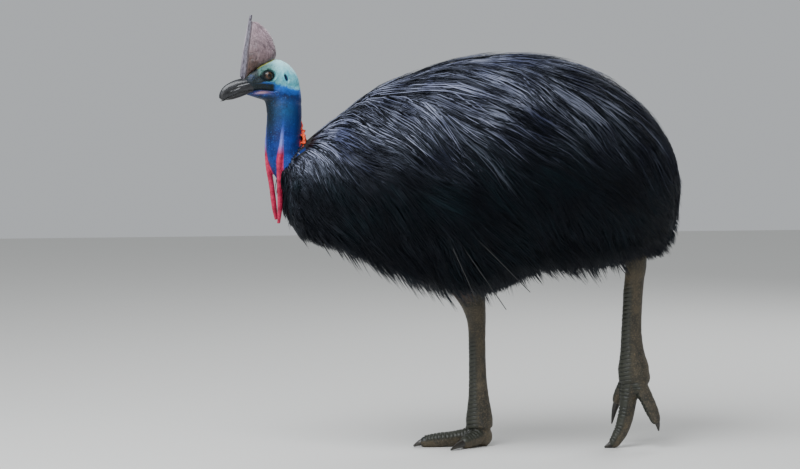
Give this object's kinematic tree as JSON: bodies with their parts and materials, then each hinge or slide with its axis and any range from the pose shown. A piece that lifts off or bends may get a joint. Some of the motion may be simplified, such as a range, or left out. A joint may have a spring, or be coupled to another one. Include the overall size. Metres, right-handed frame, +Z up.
{
  "type": "cassowary",
  "caption": "Life-size still model of a walking southern cassowary: tall casque, blue neck, crimson wattles and black hair-like plumage.",
  "frame": {"origin": "on the ground, under the middle of the bird's bounding box", "axes": "+Z up; the bird faces -X, its left side towards -Y and its right side towards +Y"},
  "size_m": [1.2208, 0.4744, 1.134],
  "materials": {
    "plumage": "black hair-like feathers with a blue-grey sheen",
    "head_skin": "bare pale turquoise skin, blue below the eye",
    "neck_skin": "bare wrinkled royal-blue skin",
    "wattle": "smooth crimson folds of skin",
    "caruncle": "wrinkled orange-red skin",
    "casque": "dull greyish-brown horn with fine cracks",
    "bill": "dark worn horn",
    "eye": "wet, dark brown",
    "leg_skin": "grey-brown scaly skin with raised scutes",
    "claw": "dark grey horn, paler along its upper edge",
    "quill": "bare black quills"
  },
  "bodies": {
    "root": {"head": "head_skin", "upper_bill": "bill", "lower_bill": "bill", "casque": "casque", "eye_left": "eye", "eye_right": "eye", "neck": "neck_skin", "wattle_left": "wattle", "wattle_right": "wattle", "nape_caruncles": "caruncle", "torso": "plumage", "rump": "plumage", "wing_left": "quill", "wing_right": "quill", "shank_right": "leg_skin", "shank_left": "leg_skin", "tarsus_right": "leg_skin", "tarsus_left": "leg_skin", "foot_right": "leg_skin", "foot_left": "leg_skin", "claw_right_middle": "claw", "claw_right_inner": "claw", "claw_right_outer": "claw", "claw_left_middle": "claw", "claw_left_inner": "claw", "claw_left_outer": "claw"}
  },
  "joints": []
}
